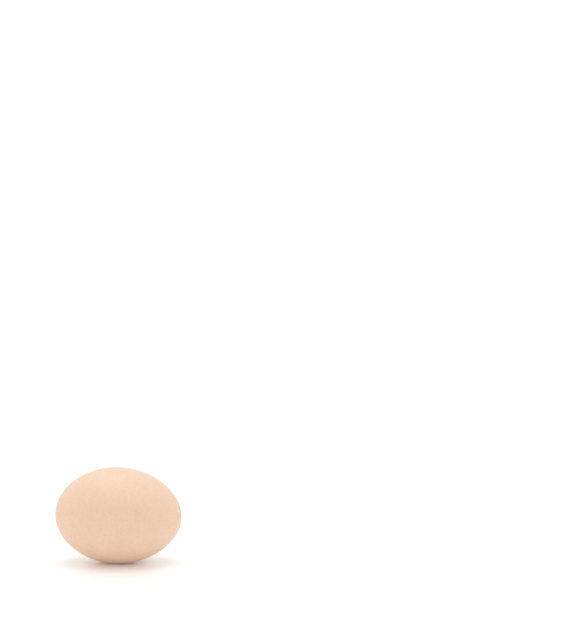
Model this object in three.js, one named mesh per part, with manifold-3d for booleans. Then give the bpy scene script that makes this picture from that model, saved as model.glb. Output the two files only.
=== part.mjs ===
/**
 * A hen's egg lying on its side, as one closed solid.
 *
 * Units are millimetres and +Z is up. The egg rests on the plane z = 0, and the origin is the middle
 * of its outline on that plane. Its long axis runs along X, with the blunt end towards -X and the
 * pointed end towards +X. The pointed end dips a little, as it does on an egg that has rolled to rest.
 */
import * as THREE from "three";
import { mergeVertices } from "three/addons/utils/BufferGeometryUtils.js";
import Module from "manifold-3d";

// Driving dimensions.
const LENGTH = 57.0; // tip to tip along the egg's own axis
const BREADTH = 43.5; // across the middle
const BLUNTNESS = 0.02; // how much fuller the blunt end is, and slimmer the pointed one, than an ellipsoid
const TAPER = 0.03; // how much slimmer both ends are than an ellipsoid's
const DIP = THREE.MathUtils.degToRad(2.6); // how far the axis drops towards the pointed end
const SPOT_DEPTH = 0.3; // how much of the curve the flat resting spot takes off

// How finely the curved surface is divided.
const RINGS = 44; // along the axis
const SEGMENTS = 72; // around the axis

const SHELL_COLOUR = 0xf0ceb4;
const SHELL_ROUGHNESS = 0.5;

const wasm = await Module();
wasm.setup();

/** The egg's outline from blunt tip to pointed tip: x is the radius and y runs along the axis. */
function eggProfile() {
  const points = [];
  for (let ring = 0; ring <= RINGS; ring++) {
    const angle = Math.PI * (1 - ring / RINGS); // half a turn at the blunt tip, 0 at the pointed one
    const along = Math.cos(angle);
    const fullness = 1 - BLUNTNESS * along - TAPER * along ** 2;
    const radius = (BREADTH / 2) * fullness * Math.sin(angle);
    points.push(new THREE.Vector2(radius, (LENGTH / 2) * along));
  }
  points[0].x = 0;
  points[RINGS].x = 0;
  return points;
}

/** The whole egg, turned and lowered to where it comes to rest, with the spot's depth below z = 0. */
function restingEgg() {
  const egg = new THREE.LatheGeometry(eggProfile(), SEGMENTS);
  egg.rotateZ(-Math.PI / 2); // the lathe's axis, Y, onto X
  egg.rotateY(DIP);
  egg.computeBoundingBox();
  const { min, max } = egg.boundingBox;
  return egg.translate(-(min.x + max.x) / 2, 0, -min.z - SPOT_DEPTH);
}

/** A block that fills the space under z = 0 wherever the egg could reach it. */
function groundBlock() {
  const side = 2 * LENGTH;
  return new THREE.BoxGeometry(side, side, side).translate(0, 0, -side / 2);
}

/** A closed three.js geometry as a solid that can be cut. */
function toSolid(geometry) {
  const bare = geometry.clone();
  bare.deleteAttribute("normal");
  bare.deleteAttribute("uv");
  const merged = mergeVertices(bare);
  return new wasm.Manifold(
    new wasm.Mesh({
      numProp: 3,
      vertProperties: merged.attributes.position.array,
      triVerts: new Uint32Array(merged.index.array),
    }),
  );
}

/** A solid as a three.js geometry. */
function toGeometry(solid) {
  const { vertProperties, triVerts } = solid.getMesh();
  const geometry = new THREE.BufferGeometry();
  geometry.setAttribute("position", new THREE.BufferAttribute(vertProperties, 3));
  geometry.setIndex(new THREE.BufferAttribute(triVerts, 1));
  geometry.computeVertexNormals();
  return geometry;
}

/** The egg with its curve cut off flat where it meets the surface under it. */
function makeEgg() {
  const solid = toSolid(restingEgg()).subtract(toSolid(groundBlock()));
  const shell = new THREE.MeshStandardMaterial({
    color: SHELL_COLOUR,
    roughness: SHELL_ROUGHNESS,
    metalness: 0,
  });
  const egg = new THREE.Mesh(toGeometry(solid), shell);
  egg.name = "egg";
  return egg;
}

const model = new THREE.Group();
model.add(makeEgg());

export default model;
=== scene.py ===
import math

import bpy
import numpy as np
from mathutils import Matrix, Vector, noise


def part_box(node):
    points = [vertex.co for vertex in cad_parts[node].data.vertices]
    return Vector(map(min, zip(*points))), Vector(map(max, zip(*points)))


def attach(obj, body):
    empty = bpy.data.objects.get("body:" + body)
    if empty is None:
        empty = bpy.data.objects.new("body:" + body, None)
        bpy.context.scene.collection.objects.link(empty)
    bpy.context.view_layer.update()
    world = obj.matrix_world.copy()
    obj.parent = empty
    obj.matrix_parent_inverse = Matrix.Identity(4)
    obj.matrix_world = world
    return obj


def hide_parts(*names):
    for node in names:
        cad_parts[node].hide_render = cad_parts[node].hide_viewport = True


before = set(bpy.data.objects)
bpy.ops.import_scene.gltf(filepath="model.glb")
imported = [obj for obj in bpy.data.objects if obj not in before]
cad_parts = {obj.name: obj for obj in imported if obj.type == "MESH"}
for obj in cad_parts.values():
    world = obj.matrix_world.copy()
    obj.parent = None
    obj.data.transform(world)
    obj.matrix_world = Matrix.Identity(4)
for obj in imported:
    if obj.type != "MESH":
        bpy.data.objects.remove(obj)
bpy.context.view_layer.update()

MM = 0.001

# The egg's form, with the same driving dimensions as the solid.
LENGTH = 57.0 * MM
BREADTH = 43.5 * MM
BLUNTNESS = 0.02  # how much fuller the blunt end is than an ellipsoid's
TAPER = 0.03  # how much slimmer both ends are than an ellipsoid's
DIP = math.radians(2.6)  # how far the axis drops towards the pointed end
SPOT_DEPTH = 0.3 * MM  # how much of the curve the resting spot takes off
SPOT_ROUNDING = 0.05 * MM  # how softly the curve runs into the resting spot

# Its mesh is a cube's six sides swelled into the egg, each side a square grid of this many faces.
SIDE_FACES = 128
CHART_MARGIN = 0.012  # empty border round each side's chart, as a share of the whole map

# Relief that is shape and not texture, as (size, height) of each layer of swells.
SWELLS = ((14.0 * MM, 0.05 * MM), (5.0 * MM, 0.012 * MM), (2.4 * MM, 0.004 * MM))
SWELL_SHIFT = (7.0, 3.0, 5.0)  # sets each layer's noise apart from the one before
PIMPLES = 90
PIMPLE_RADIUS = (0.45 * MM, 1.0 * MM)
PIMPLE_HEIGHT = (0.01 * MM, 0.035 * MM)
PIMPLE_GATHERING = (1.6, 1.0, 1.0)  # more than 1 along X draws them towards the two ends
PIMPLE_STEEPNESS = 2
PIMPLE_SEED = 11

# Shell colours, linear.
SHELL_PALE = (0.875, 0.632, 0.462)
SHELL_TAN = (0.812, 0.565, 0.400)
PORE_TAN = (0.60, 0.362, 0.227)
FRECKLE_BROWN = (0.42, 0.19, 0.09)
CHALK_WHITE = (0.90, 0.77, 0.655)

# The clouding between pale and tan, as (size, weight, detail) of each layer. The weights add up to 1.
CLOUDING = ((9.0 * MM, 0.15, 1.0), (1.3 * MM, 0.45, 3.0), (0.4 * MM, 0.40, 2.0))
CLOUDING_SPREAD = (0.30, 0.70)  # the noise that turns fully pale and the noise that turns fully tan

# Dots on the shell, as (spacing, radius, share of the places that have one), and how far each kind
# goes over to its own colour.
PORES, PORE_TINT = (0.62 * MM, 0.16 * MM, 0.9), 0.30
SPECKS, SPECK_TINT = (1.5 * MM, 0.25 * MM, 0.35), 0.22
FRECKLES, FRECKLE_TINT = (4.2 * MM, 0.55 * MM, 0.40), 0.14
CHALK, CHALK_TINT = (2.6 * MM, 0.32 * MM, 0.20), 0.5
DOT_CORE = 0.5  # the share of a dot's radius with its full strength, which fades from there to its rim

# The fine relief: sizes of the noise in metres, heights in millimetres.
PEEL_SIZE, PEEL_HEIGHT = 1.1 * MM, 0.035
GRAIN_SIZE, GRAIN_HEIGHT = 0.35 * MM, 0.010
PORE_HEIGHT = -0.030
CHALK_HEIGHT = 0.015

# The shell's surface.
ROUGHNESS_LEAST, ROUGHNESS_SPREAD, ROUGHNESS_SIZE = 0.40, 0.16, 1.6 * MM
SHELL_IOR = 1.5
SHELL_SPECULAR = 0.7  # the waxy bloom of a fresh shell
SCATTER_WEIGHT = 0.2
SCATTER_RADIUS = (1.0, 0.40, 0.20)
SCATTER_SCALE = 3.0 * MM

# The camera.
CAMERA_DISTANCE = 2.0
CAMERA_ELEVATION = math.radians(10)
CAMERA_LENS = 256.5  # mm, on a 36 mm sensor
AIM_RIGHT = 74.2 * MM  # how far the camera's aim passes to the right of the egg
AIM_ABOVE = 92.0 * MM  # and above it

# The floor and the light.
FLOOR_HALF = 1.3  # the white sky carries on from here without a visible edge
FLOOR_GAP = 0.01 * MM
FLOOR_WHITE = (0.97, 0.97, 0.97)
FLOOR_ROUGHNESS = 0.3
FLOOR_GLOSS = 0.7
FLOOR_GLOW = 0.07  # a faint light of the floor's own, which keeps the shadow soft
SKY_BEHIND, SKY_BEFORE, SKY_BESIDE, SKY_ABOVE = 0.90, 0.80, 1.06, 1.00  # strengths along the axes
SOFTBOX_PLACE = (0.0, 0.15, 1.2)
SOFTBOX_SIZE = 0.7
SOFTBOX_WATTS = 3.0


# ---------------------------------------------------------------- the egg's mesh

# Each side of the cube as its outward normal and the axis that runs across its chart. The other
# axis, up the chart, is then the egg's long one on all four flanks.
SIDES = (
    ((1, 0, 0), (0, 1, 0)),
    ((-1, 0, 0), (0, 0, 1)),
    ((0, 1, 0), (0, 0, 1)),
    ((0, -1, 0), (0, 0, -1)),
    ((0, 0, 1), (0, -1, 0)),
    ((0, 0, -1), (0, 1, 0)),
)
CHART_COLUMNS, CHART_ROWS = 3, 2


def side_directions(normal, across):
    """Unit vectors over one side of the cube, spaced by equal angles: an (n + 1, n + 1, 3) grid."""
    steps = np.tan(np.linspace(-math.pi / 4, math.pi / 4, SIDE_FACES + 1))
    up = np.cross(normal, across)
    grid = (
        np.array(normal, float)
        + steps[None, :, None] * np.array(across, float)
        + steps[:, None, None] * up
    )
    return grid / np.linalg.norm(grid, axis=2, keepdims=True)


def side_faces(first):
    """The corner numbers of one side's square faces, anticlockwise seen from outside."""
    row = SIDE_FACES + 1
    at = np.arange(SIDE_FACES)
    low = first + at[:, None] * row + at[None, :]
    return np.stack([low, low + 1, low + row + 1, low + row], axis=2).reshape(-1, 4)


def side_chart(index):
    """Where one side's grid points lie on the texture map."""
    column, row = index % CHART_COLUMNS, index // CHART_COLUMNS
    steps = np.linspace(0, 1, SIDE_FACES + 1)
    width, height = 1 / CHART_COLUMNS, 1 / CHART_ROWS
    u = column * width + CHART_MARGIN + steps * (width - 2 * CHART_MARGIN)
    v = row * height + CHART_MARGIN + steps * (height - 2 * CHART_MARGIN)
    return np.stack(np.broadcast_arrays(u[None, :], v[:, None]), axis=2).reshape(-1, 2)


def cube_sphere():
    """Unit directions, square faces between them, and each face corner's place on the map."""
    points, faces, charts = [], [], []
    for index, (normal, across) in enumerate(SIDES):
        faces.append(side_faces(sum(len(p) for p in points)))
        points.append(side_directions(normal, across).reshape(-1, 3))
        charts.append(side_chart(index))
    points, faces, charts = map(np.concatenate, (points, faces, charts))
    keys = np.round(points * 1e6).astype(np.int64)
    _, first, shared = np.unique(keys, axis=0, return_index=True, return_inverse=True)
    return points[first], shared.reshape(-1)[faces], charts[faces]


def swells(points):
    """The height of the shell's uneven swells at each point."""
    height = np.zeros(len(points))
    for layer, (size, rise) in enumerate(SWELLS):
        offset = Vector(SWELL_SHIFT) * layer
        height += rise * np.array([noise.noise(Vector(p) / size + offset) for p in points])
    return height


def pimples(points):
    """The height of small calcium grains, which gather towards the two ends."""
    draw = np.random.default_rng(PIMPLE_SEED)
    centres = draw.normal(size=(PIMPLES, 3)) * PIMPLE_GATHERING
    centres /= np.linalg.norm(centres, axis=1, keepdims=True)
    radii = draw.uniform(*PIMPLE_RADIUS, PIMPLES)
    rises = draw.uniform(*PIMPLE_HEIGHT, PIMPLES)
    height = np.zeros(len(points))
    for centre, radius, rise in zip(egg_surface(centres), radii, rises, strict=True):
        away = np.linalg.norm(points - centre, axis=1) / radius
        height = np.maximum(height, rise * np.exp(-(away**2) * PIMPLE_STEEPNESS))
    return height


def egg_surface(directions):
    """The smooth egg's points in those directions, with its axis still level."""
    along = directions[:, 0]
    fullness = 1 - BLUNTNESS * along - TAPER * along**2
    ring = (BREADTH / 2) * fullness[:, None] * directions[:, 1:]
    return np.column_stack([(LENGTH / 2) * along, ring])


def dipped(points):
    """Points turned about Y, so that the pointed end drops."""
    x, y, z = points.T
    return np.column_stack([
        x * math.cos(DIP) + z * math.sin(DIP),
        y,
        z * math.cos(DIP) - x * math.sin(DIP),
    ])


def settled(points):
    """Points lowered onto z = 0 and pressed flat where they would go through it."""
    z = points[:, 2] - points[:, 2].min() - SPOT_DEPTH
    points[:, 2] = (z + np.sqrt(z**2 + SPOT_ROUNDING**2)) / 2
    return points


def fitted(points, low, high):
    """Points moved and stretched by the little it takes to fill the solid's own box."""
    start, span = points.min(axis=0), np.ptp(points, axis=0)
    return np.array(low) + (points - start) / span * (np.array(high) - np.array(low))


def egg_mesh():
    """The shell: the smooth egg with its relief, at rest and filling the solid's own box."""
    directions, faces, charts = cube_sphere()
    points = egg_surface(directions)
    outward = directions / (LENGTH, BREADTH, BREADTH)
    outward /= np.linalg.norm(outward, axis=1, keepdims=True)
    points += outward * (swells(points) + pimples(points))[:, None]
    points = fitted(settled(dipped(points)), *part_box("egg"))

    mesh = bpy.data.meshes.new("whole_egg")
    mesh.from_pydata(points.tolist(), [], faces.tolist())
    mesh.polygons.foreach_set("use_smooth", np.ones(len(faces), bool))
    mesh.uv_layers.new(name="OFBake").uv.foreach_set("vector", charts.astype(np.float32).ravel())
    mesh.update()
    return mesh


# ---------------------------------------------------------------- the shell's material


class Nodes:
    """A short way to write a node tree: each call adds a node and links or sets its inputs."""

    def __init__(self, tree):
        self.tree = tree
        tree.nodes.clear()

    def add(self, kind, settings=None, **inputs):
        node = self.tree.nodes.new(kind)
        for name, value in (settings or {}).items():
            setattr(node, name, value)
        for name, value in inputs.items():
            self.feed(node.inputs[name.replace("_", " ")], value)
        return node

    def feed(self, socket, value):
        if isinstance(value, bpy.types.NodeSocket):
            self.tree.links.new(value, socket)
        elif isinstance(value, tuple) and socket.type == "RGBA":
            socket.default_value = (*value, 1.0)
        else:
            socket.default_value = value

    def math(self, operation, *values):
        node = self.tree.nodes.new("ShaderNodeMath")
        node.operation = operation
        for socket, value in zip(node.inputs, values, strict=False):
            self.feed(socket, value)
        return node.outputs[0]

    def mix_colour(self, share, first, second):
        node = self.tree.nodes.new("ShaderNodeMix")
        node.data_type = "RGBA"
        self.feed(node.inputs["Factor"], share)
        for socket, value in zip(node.inputs[6:8], (first, second), strict=True):
            self.feed(socket, value)
        return node.outputs[2]

    def noise(self, coords, size, detail=2.0, shift=0.0):
        """Soft noise from 0 to 1, with features about this size. A shift sets two noises apart."""
        moved = self.add("ShaderNodeVectorMath", {"operation": "ADD"})
        self.feed(moved.inputs[0], coords)
        moved.inputs[1].default_value = (shift, shift, shift)
        return self.add(
            "ShaderNodeTexNoise", Vector=moved.outputs[0], Scale=1 / size, Detail=detail, Roughness=0.5
        ).outputs["Fac"]

    def ramp(self, value, low, high):
        """0 below low, 1 above high and a smooth step between them."""
        node = self.add("ShaderNodeMapRange", {"interpolation_type": "SMOOTHSTEP"}, Value=value)
        node.inputs["From Min"].default_value = low
        node.inputs["From Max"].default_value = high
        return node.outputs["Result"]

    def dots(self, coords, spacing, radius, share):
        """1 inside round dots scattered about that far apart, of which only a share is kept."""
        cells = self.add(
            "ShaderNodeTexVoronoi", Vector=coords, Scale=1 / spacing, Randomness=1.0
        )
        reach = radius / spacing
        dot = self.math("SUBTRACT", 1.0, self.ramp(cells.outputs["Distance"], reach * DOT_CORE, reach))
        chance = self.add("ShaderNodeSeparateColor", Color=cells.outputs["Color"]).outputs[0]
        return self.math("MULTIPLY", dot, self.math("LESS_THAN", chance, share))


def shell_material():
    """The brown shell's look, worked out from the place on the egg alone."""
    material = bpy.data.materials.new("brown_shell")
    material.use_nodes = True
    nodes = Nodes(material.node_tree)
    coords = nodes.add("ShaderNodeTexCoord").outputs["Object"]

    pores = nodes.dots(coords, *PORES)
    specks = nodes.dots(coords, *SPECKS)
    freckles = nodes.dots(coords, *FRECKLES)
    chalk = nodes.dots(coords, *CHALK)

    colour = shell_colour(nodes, coords, pores, specks, freckles, chalk)
    bump = shell_bump(nodes, coords, pores, chalk)
    unevenness = nodes.noise(coords, ROUGHNESS_SIZE, 3.0, 0.3)
    roughness = nodes.math("ADD", ROUGHNESS_LEAST, nodes.math("MULTIPLY", unevenness, ROUGHNESS_SPREAD))

    shader = nodes.add(
        "ShaderNodeBsdfPrincipled", Base_Color=colour, Roughness=roughness, Normal=bump
    )
    shader.inputs["IOR"].default_value = SHELL_IOR
    shader.inputs["Specular IOR Level"].default_value = SHELL_SPECULAR
    shader.inputs["Subsurface Weight"].default_value = SCATTER_WEIGHT
    shader.inputs["Subsurface Radius"].default_value = SCATTER_RADIUS
    shader.inputs["Subsurface Scale"].default_value = SCATTER_SCALE
    nodes.add("ShaderNodeOutputMaterial", Surface=shader.outputs[0])
    return material


def clouding(nodes, coords):
    """The share of tan in the ground colour, from its layers of noise."""
    shares = [
        nodes.math("MULTIPLY", nodes.noise(coords, size, detail, 0.1 * layer), weight)
        for layer, (size, weight, detail) in enumerate(CLOUDING)
    ]
    total = nodes.math("ADD", nodes.math("ADD", shares[0], shares[1]), shares[2])
    return nodes.ramp(total, *CLOUDING_SPREAD)


def shell_colour(nodes, coords, pores, specks, freckles, chalk):
    """Peach and tan, clouded at three scales, with pores, pigment specks and chalky grains."""
    colour = nodes.mix_colour(clouding(nodes, coords), SHELL_PALE, SHELL_TAN)
    for dots, tint, own_colour in (
        (pores, PORE_TINT, PORE_TAN),
        (specks, SPECK_TINT, FRECKLE_BROWN),
        (freckles, FRECKLE_TINT, FRECKLE_BROWN),
        (chalk, CHALK_TINT, CHALK_WHITE),
    ):
        colour = nodes.mix_colour(nodes.math("MULTIPLY", dots, tint), colour, own_colour)
    return colour


def shell_bump(nodes, coords, pores, chalk):
    """The fine relief: orange peel, grain, pits at the pores and raised chalk."""
    peel = nodes.math("MULTIPLY", nodes.noise(coords, PEEL_SIZE, 1.0, 0.4), PEEL_HEIGHT)
    grain = nodes.math("MULTIPLY", nodes.noise(coords, GRAIN_SIZE, 1.0, 0.5), GRAIN_HEIGHT)
    pits = nodes.math("MULTIPLY", pores, PORE_HEIGHT)
    grains = nodes.math("MULTIPLY", chalk, CHALK_HEIGHT)
    height = nodes.math("ADD", nodes.math("ADD", peel, grain), nodes.math("ADD", pits, grains))
    return nodes.add("ShaderNodeBump", Strength=1.0, Distance=MM, Height=height).outputs[0]


def make_egg():
    """The one piece, with its mesh and material."""
    egg = bpy.data.objects.new("whole_egg", egg_mesh())
    bpy.context.scene.collection.objects.link(egg)
    egg.data.materials.append(shell_material())
    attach(egg, "root")
    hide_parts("egg")
    return egg


# ---------------------------------------------------------------- floor, light and camera


def make_floor():
    """A square white floor, just under the egg."""
    signs = ((-1, -1), (1, -1), (1, 1), (-1, 1))
    corners = [(FLOOR_HALF * x, FLOOR_HALF * y, -FLOOR_GAP) for x, y in signs]
    mesh = bpy.data.meshes.new("floor")
    mesh.from_pydata(corners, [], [(0, 1, 2, 3)])
    floor = bpy.data.objects.new("floor", mesh)
    bpy.context.scene.collection.objects.link(floor)
    material = bpy.data.materials.new("white_floor")
    material.use_nodes = True
    shader = material.node_tree.nodes["Principled BSDF"]
    shader.inputs["Base Color"].default_value = (*FLOOR_WHITE, 1)
    shader.inputs["Roughness"].default_value = FLOOR_ROUGHNESS
    shader.inputs["Specular IOR Level"].default_value = FLOOR_GLOSS
    shader.inputs["Emission Color"].default_value = (1, 1, 1, 1)
    shader.inputs["Emission Strength"].default_value = FLOOR_GLOW
    mesh.materials.append(material)


def sky_strength(nodes):
    """The light from each direction, which runs smoothly between its strengths along the axes."""
    direction = nodes.add("ShaderNodeTexCoord").outputs["Generated"]
    split = nodes.add("ShaderNodeSeparateXYZ", Vector=direction)
    x, y, z = (nodes.math("POWER", nodes.math("ABSOLUTE", split.outputs[axis]), 2.0) for axis in "XYZ")
    behind = nodes.math("GREATER_THAN", split.outputs["Y"], 0.0)
    along_y = nodes.math("MULTIPLY_ADD", behind, SKY_BEHIND - SKY_BEFORE, SKY_BEFORE)
    strength = nodes.math("MULTIPLY", x, SKY_BESIDE)
    strength = nodes.math("MULTIPLY_ADD", y, along_y, strength)
    return nodes.math("MULTIPLY_ADD", z, SKY_ABOVE, strength)


def make_sky():
    """Plain white for the camera, and soft light of an uneven strength for the egg and the floor."""
    world = bpy.data.worlds.new("studio")
    bpy.context.scene.world = world
    world.use_nodes = True
    nodes = Nodes(world.node_tree)
    light = nodes.add("ShaderNodeBackground", Strength=sky_strength(nodes))
    shown = nodes.add("ShaderNodeBackground", Strength=1.0)
    for background in (light, shown):
        background.inputs["Color"].default_value = (1, 1, 1, 1)
    seen = nodes.add("ShaderNodeLightPath").outputs["Is Camera Ray"]
    mix = nodes.add("ShaderNodeMixShader")
    for socket, value in zip(mix.inputs, (seen, light.outputs[0], shown.outputs[0]), strict=True):
        nodes.feed(socket, value)
    nodes.add("ShaderNodeOutputWorld", Surface=mix.outputs[0])


def make_softbox(name, place, size, watts, target):
    """A square area light at place that faces target and that the camera doesn't see."""
    data = bpy.data.lights.new(name, "AREA")
    data.shape = "SQUARE"
    data.size = size
    data.energy = watts
    lamp = bpy.data.objects.new(name, data)
    bpy.context.scene.collection.objects.link(lamp)
    lamp.location = place
    lamp.rotation_euler = (Vector(target) - Vector(place)).to_track_quat("-Z", "Y").to_euler()
    lamp.visible_camera = False


def make_camera(target):
    """Looks at the egg from its side and a little above, and aims past it up and to the right."""
    up = Vector((0, math.sin(CAMERA_ELEVATION), math.cos(CAMERA_ELEVATION)))
    back = Vector((0, -math.cos(CAMERA_ELEVATION), math.sin(CAMERA_ELEVATION)))
    aim = target + Vector((AIM_RIGHT, 0, 0)) + up * AIM_ABOVE
    data = bpy.data.cameras.new("camera")
    data.sensor_width = 36
    data.lens = CAMERA_LENS
    data.clip_start, data.clip_end = 0.1, 50
    camera = bpy.data.objects.new("camera", data)
    bpy.context.scene.collection.objects.link(camera)
    camera.location = target + back * CAMERA_DISTANCE
    camera.rotation_euler = (aim - camera.location).to_track_quat("-Z", "Y").to_euler()
    bpy.context.scene.camera = camera


make_egg()
low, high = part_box("egg")
middle = (low + high) / 2
make_floor()
make_sky()
make_softbox("overhead_softbox", SOFTBOX_PLACE, SOFTBOX_SIZE, SOFTBOX_WATTS, middle)
make_camera(middle)
bpy.context.scene.view_settings.view_transform = "Standard"
